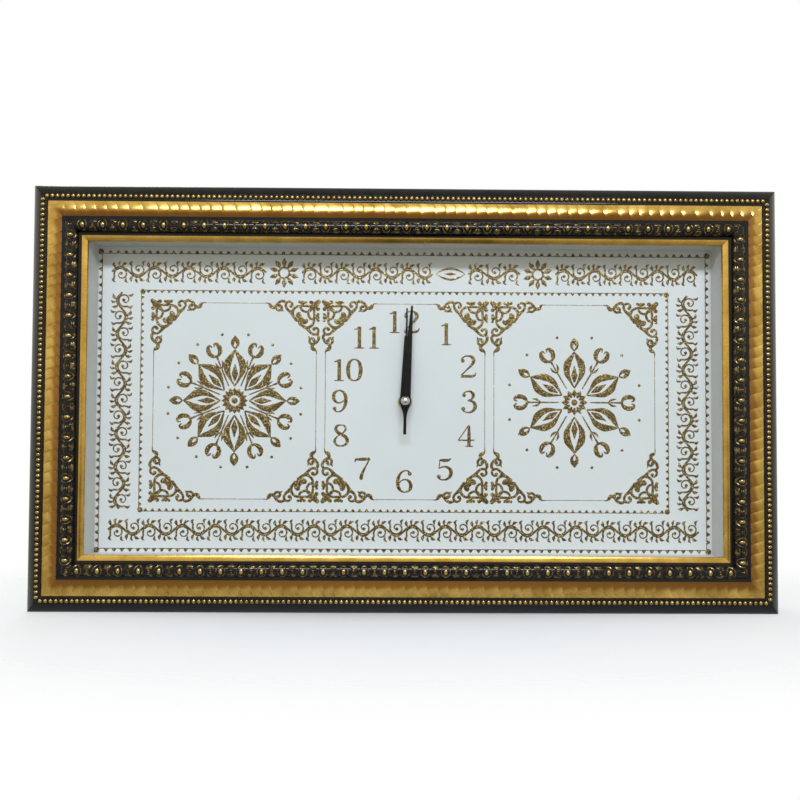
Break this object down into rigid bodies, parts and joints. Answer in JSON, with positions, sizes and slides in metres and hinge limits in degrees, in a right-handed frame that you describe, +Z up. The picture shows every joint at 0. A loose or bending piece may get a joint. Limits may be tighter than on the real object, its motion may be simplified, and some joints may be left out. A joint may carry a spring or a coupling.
{
  "type": "picture wall clock",
  "caption": "Wide picture wall clock: glazed shadow-box frame in black and gold embossed moulding, white panel with gold glitter ornament, and a quartz dial with numerals and black hands.",
  "frame": {"origin": "centre of the round hole of the keyhole hanger plate, on the back plane of the frame", "axes": "+X to the right as seen from the front, +Y into the wall, +Z up; the front faces -Y"},
  "size_m": [0.651, 0.05, 0.371],
  "materials": {
    "moulding": "black with gold foil, embossed",
    "glass": "clear sheet",
    "white_strip": "white satin",
    "panel": "white coated fibreboard with gold glitter print, bare brown back",
    "steel": "zinc plated",
    "black_plastic": "moulded",
    "train_plastic": "moulded, natural",
    "rubber": "matt",
    "brass": "turned",
    "battery": "printed sleeve, plain",
    "board": "solder mask",
    "copper": "enamelled copper wire",
    "lamination": "soft iron sheet",
    "magnet": "sintered magnet with moulded pinion",
    "hand_black": "black lacquer, gloss",
    "cap_silver": "polished"
  },
  "bodies": {
    "clock": {"frame_top": "moulding", "frame_bottom": "moulding", "frame_left": "moulding", "frame_right": "moulding", "corner_wedges": "steel", "glass_pane": "glass", "spacer_top": "white_strip", "spacer_bottom": "white_strip", "spacer_left": "white_strip", "spacer_right": "white_strip", "picture_panel": "panel", "retaining_points": "steel", "hanger_plate": "steel", "hanger_screws": "steel", "movement_case": "black_plastic", "movement_cover": "black_plastic", "panel_gasket": "rubber", "brass_washer": "brass", "brass_nut": "brass", "middle_plate": "train_plastic", "gear_bridge": "train_plastic", "battery": "battery", "contact_plus": "steel", "contact_minus": "steel", "circuit_board": "board", "crystal_can": "steel", "drive_coil": "copper", "coil_core": "lamination", "stator": "lamination"},
    "rotor": {"rotor": "magnet"},
    "intermediate": {"intermediate_wheel": "train_plastic"},
    "third": {"third_wheel": "train_plastic"},
    "seconds": {"second_wheel": "train_plastic", "second_hand": "hand_black", "hand_cap": "cap_silver"},
    "minutes": {"centre_wheel": "train_plastic", "minute_hand": "hand_black"},
    "motion": {"motion_wheel": "train_plastic"},
    "setting": {"setting_arbor": "train_plastic", "setting_knob": "black_plastic"},
    "hours": {"hour_wheel": "train_plastic", "hour_hand": "hand_black"}
  },
  "joints": [
    {"name": "second_hand_turn", "type": "hinge", "parent": "clock", "child": "seconds", "pos_m": [0, 0, -0.1308], "axis": [0, 1, 0], "continuous": true},
    {"name": "rotor_turn", "type": "hinge", "parent": "clock", "child": "rotor", "pos_m": [-0.00878, 0, -0.11975], "axis": [0, 1, 0], "continuous": true},
    {"name": "intermediate_turn", "type": "hinge", "parent": "clock", "child": "intermediate", "pos_m": [-0.00639, 0, -0.12633], "axis": [0, 1, 0], "continuous": true},
    {"name": "third_turn", "type": "hinge", "parent": "clock", "child": "third", "pos_m": [0.00922, 0, -0.12435], "axis": [0, 1, 0], "continuous": true},
    {"name": "minute_hand_turn", "type": "hinge", "parent": "clock", "child": "minutes", "pos_m": [0, 0, -0.1308], "axis": [0, 1, 0], "continuous": true},
    {"name": "motion_turn", "type": "hinge", "parent": "clock", "child": "motion", "pos_m": [-0.0072, 0, -0.1308], "axis": [0, 1, 0], "continuous": true},
    {"name": "setting_knob_turn", "type": "hinge", "parent": "clock", "child": "setting", "pos_m": [-0.01397, 0, -0.13326], "axis": [0, 1, 0], "continuous": true},
    {"name": "hour_hand_turn", "type": "hinge", "parent": "clock", "child": "hours", "pos_m": [0, 0, -0.1308], "axis": [0, 1, 0], "continuous": true}
  ],
  "couplings": [
    {"joint": "rotor_turn", "follows": "second_hand_turn", "ratio": 30},
    {"joint": "intermediate_turn", "follows": "second_hand_turn", "ratio": -5},
    {"joint": "third_turn", "follows": "second_hand_turn", "ratio": -0.13333},
    {"joint": "minute_hand_turn", "follows": "second_hand_turn", "ratio": 0.016667},
    {"joint": "motion_turn", "follows": "second_hand_turn", "ratio": -0.0055556},
    {"joint": "setting_knob_turn", "follows": "second_hand_turn", "ratio": 0.016667},
    {"joint": "hour_hand_turn", "follows": "second_hand_turn", "ratio": 0.0013889}
  ]
}
